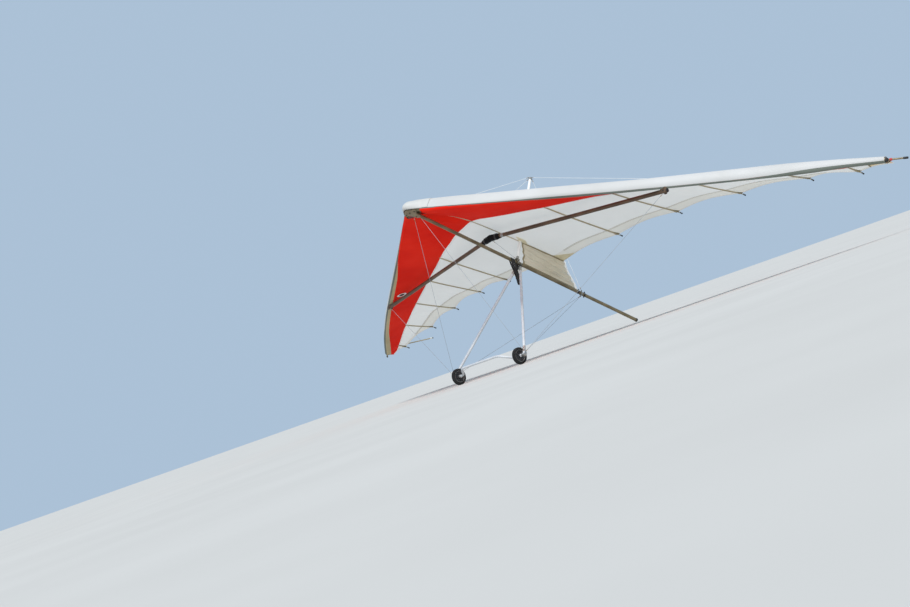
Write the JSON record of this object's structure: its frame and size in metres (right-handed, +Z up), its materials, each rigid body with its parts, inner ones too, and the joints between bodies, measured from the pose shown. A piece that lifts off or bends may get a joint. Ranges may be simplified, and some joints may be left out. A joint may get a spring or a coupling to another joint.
{
  "type": "hang glider",
  "caption": "Kingposted single-surface hang glider with a triangular control frame on two wheels, a batten-stiffened cloth wing and a crossbar, parked nose-up on its wheels and keel end.",
  "frame": {"origin": "on the floor, under the middle of the parked glider's box", "axes": "+X to the glider's left wing tip, +Y to its tail, +Z up"},
  "size_m": [9.688, 3.1608, 2.2474],
  "materials": {
    "sail_cloth": "matte woven polyester sailcloth, red nose panels on a white wing",
    "edge_cloth": "smooth white laminated sailcloth",
    "keel_pocket_cloth": "beige woven sailcloth",
    "frame_tube": "satin anodised, olive grey",
    "crossbar_tube": "satin anodised, dark brown grey",
    "bright_tube": "bright satin",
    "white_tube": "white, satin",
    "batten_tube": "satin anodised, tan",
    "fitting": "machined, satin",
    "stay_wire": "stranded stainless wire",
    "black_plastic": "matte black moulding",
    "wheel_plastic": "dark grey moulding",
    "tyre": "matte black rubber",
    "pad_cloth": "black padded cloth",
    "webbing": "black woven webbing"
  },
  "bodies": {
    "airframe": {"keel_tube": "frame_tube", "keel_end_cap": "black_plastic", "nose_plate_upper": "fitting", "nose_plate_lower": "fitting", "nose_cone": "edge_cloth", "kingpost_base": "fitting", "kingpost": "white_tube", "kingpost_cap": "black_plastic", "rear_tang": "fitting", "apex_channel": "fitting", "apex_knuckle": "fitting", "crossbar_pad": "pad_cloth", "base_bar": "bright_tube", "keel_pocket": "keel_pocket_cloth", "hang_loop_main": "webbing", "hang_loop_backup": "webbing", "leading_edge_tube_left": "frame_tube", "leading_edge_cap_left": "black_plastic", "leading_edge_pocket_left": "edge_cloth", "sail_left": "sail_cloth", "batten_left_1": "batten_tube", "batten_left_2": "batten_tube", "batten_left_3": "batten_tube", "batten_left_4": "batten_tube", "batten_left_5": "batten_tube", "washout_strut_left": "batten_tube", "crossbar_left": "crossbar_tube", "junction_bracket_left": "fitting", "upright_left": "bright_tube", "corner_knuckle_left": "fitting", "stay_lower_front_left": "stay_wire", "stay_lower_side_left": "stay_wire", "stay_lower_rear_left": "stay_wire", "stay_upper_side_left": "stay_wire", "leading_edge_tube_right": "frame_tube", "leading_edge_cap_right": "black_plastic", "leading_edge_pocket_right": "edge_cloth", "sail_right": "sail_cloth", "batten_right_1": "batten_tube", "batten_right_2": "batten_tube", "batten_right_3": "batten_tube", "batten_right_4": "batten_tube", "batten_right_5": "batten_tube", "washout_strut_right": "batten_tube", "crossbar_right": "crossbar_tube", "junction_bracket_right": "fitting", "upright_right": "bright_tube", "corner_knuckle_right": "fitting", "stay_lower_front_right": "stay_wire", "stay_lower_side_right": "stay_wire", "stay_lower_rear_right": "stay_wire", "stay_upper_side_right": "stay_wire", "stay_upper_front": "stay_wire", "stay_upper_rear": "stay_wire", "crossbar_restraint": "stay_wire"},
    "wheel_left": {"wheel_rim_left": "wheel_plastic", "wheel_tyre_left": "tyre"},
    "wheel_right": {"wheel_rim_right": "wheel_plastic", "wheel_tyre_right": "tyre"}
  },
  "joints": [
    {"name": "wheel_spin_left", "type": "hinge", "parent": "airframe", "child": "wheel_left", "pos_m": [0.588, -1.16616, 0.1], "axis": [1, 0, 0], "continuous": true},
    {"name": "wheel_spin_right", "type": "hinge", "parent": "airframe", "child": "wheel_right", "pos_m": [-0.588, -1.16616, 0.1], "axis": [1, 0, 0], "continuous": true}
  ]
}
